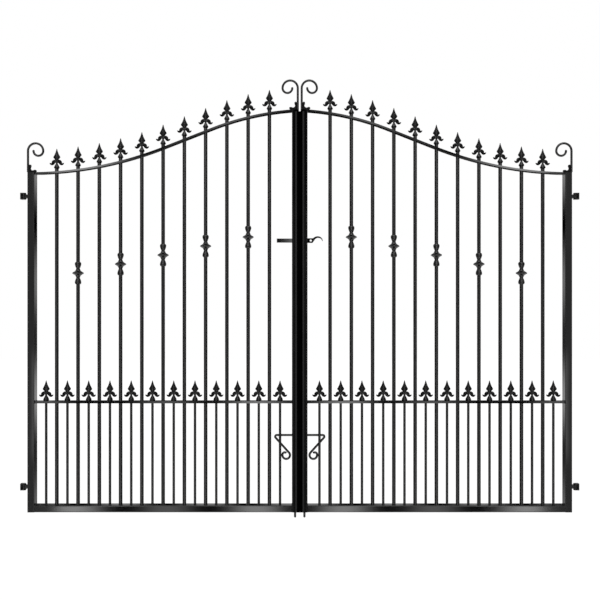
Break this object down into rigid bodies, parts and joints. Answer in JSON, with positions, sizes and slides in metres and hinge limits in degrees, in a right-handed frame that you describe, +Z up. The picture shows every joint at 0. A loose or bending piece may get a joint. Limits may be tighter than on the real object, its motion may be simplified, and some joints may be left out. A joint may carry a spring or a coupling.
{
  "type": "pair of wrought iron driveway gates",
  "caption": "Pair of black wrought iron driveway gates with a bell curved top, spearheads, dog bars, scrolls, hinges, a latch bar and drop bolts.",
  "frame": {"origin": "on the wall face of the lower left hinge bracket, level with its pin", "axes": "+X across the opening to the right as seen from the street, +Y away from the street, +Z up"},
  "size_m": [2.44, 0.0691, 1.9143],
  "materials": {
    "gloss_black": "semi-gloss black paint over steel sections",
    "cast_trim": "semi-gloss black paint over cast and forged iron",
    "pins": "black painted steel, worn a little at the pins",
    "moving_furniture": "semi-gloss black paint over steel bar"
  },
  "bodies": {
    "brackets": {"left_upper_bracket": "gloss_black", "left_lower_bracket": "gloss_black", "right_upper_bracket": "gloss_black", "right_lower_bracket": "gloss_black", "hinge_pins": "pins"},
    "left_leaf": {"left_hinge_stile": "gloss_black", "left_meeting_stile": "gloss_black", "left_bottom_rail": "gloss_black", "left_top_rail": "gloss_black", "left_dog_rail": "gloss_black", "left_plain_bars": "gloss_black", "left_bushed_bars": "gloss_black", "left_bushes": "cast_trim", "left_spearheads": "cast_trim", "left_dog_bars": "gloss_black", "left_dog_spearheads": "cast_trim", "left_outer_scroll": "gloss_black", "left_centre_scroll": "gloss_black", "left_corner_castings": "cast_trim", "left_hinge_eyes": "gloss_black", "left_bolt_guides": "gloss_black", "cover_strip": "gloss_black", "latch_keep": "gloss_black"},
    "right_leaf": {"right_hinge_stile": "gloss_black", "right_meeting_stile": "gloss_black", "right_bottom_rail": "gloss_black", "right_top_rail": "gloss_black", "right_dog_rail": "gloss_black", "right_plain_bars": "gloss_black", "right_bushed_bars": "gloss_black", "right_bushes": "cast_trim", "right_spearheads": "cast_trim", "right_dog_bars": "gloss_black", "right_dog_spearheads": "cast_trim", "right_outer_scroll": "gloss_black", "right_centre_scroll": "gloss_black", "right_corner_castings": "cast_trim", "right_hinge_eyes": "gloss_black", "right_bolt_guides": "gloss_black", "latch_pivot": "pins"},
    "latch": {"latch_bar": "moving_furniture"},
    "left_bolt": {"left_drop_bolt": "moving_furniture"},
    "right_bolt": {"right_drop_bolt": "moving_furniture"}
  },
  "joints": [
    {"name": "left_leaf_swing", "type": "hinge", "parent": "brackets", "child": "left_leaf", "pos_m": [0.014, 0, 0], "axis": [0, 0, 1], "range_deg": [0, 90]},
    {"name": "right_leaf_swing", "type": "hinge", "parent": "brackets", "child": "right_leaf", "pos_m": [2.426, 0, 0], "axis": [0, 0, -1], "range_deg": [0, 90]},
    {"name": "latch_lift", "type": "hinge", "parent": "right_leaf", "child": "latch", "pos_m": [1.23875, 0.015, 1.0774], "axis": [0, 1, 0], "range_deg": [0, 50]},
    {"name": "left_bolt_lift", "type": "slide", "parent": "left_leaf", "child": "left_bolt", "axis": [0, 0, 1], "range_m": [0, 0.1]},
    {"name": "right_bolt_lift", "type": "slide", "parent": "right_leaf", "child": "right_bolt", "axis": [0, 0, 1], "range_m": [0, 0.1]}
  ]
}
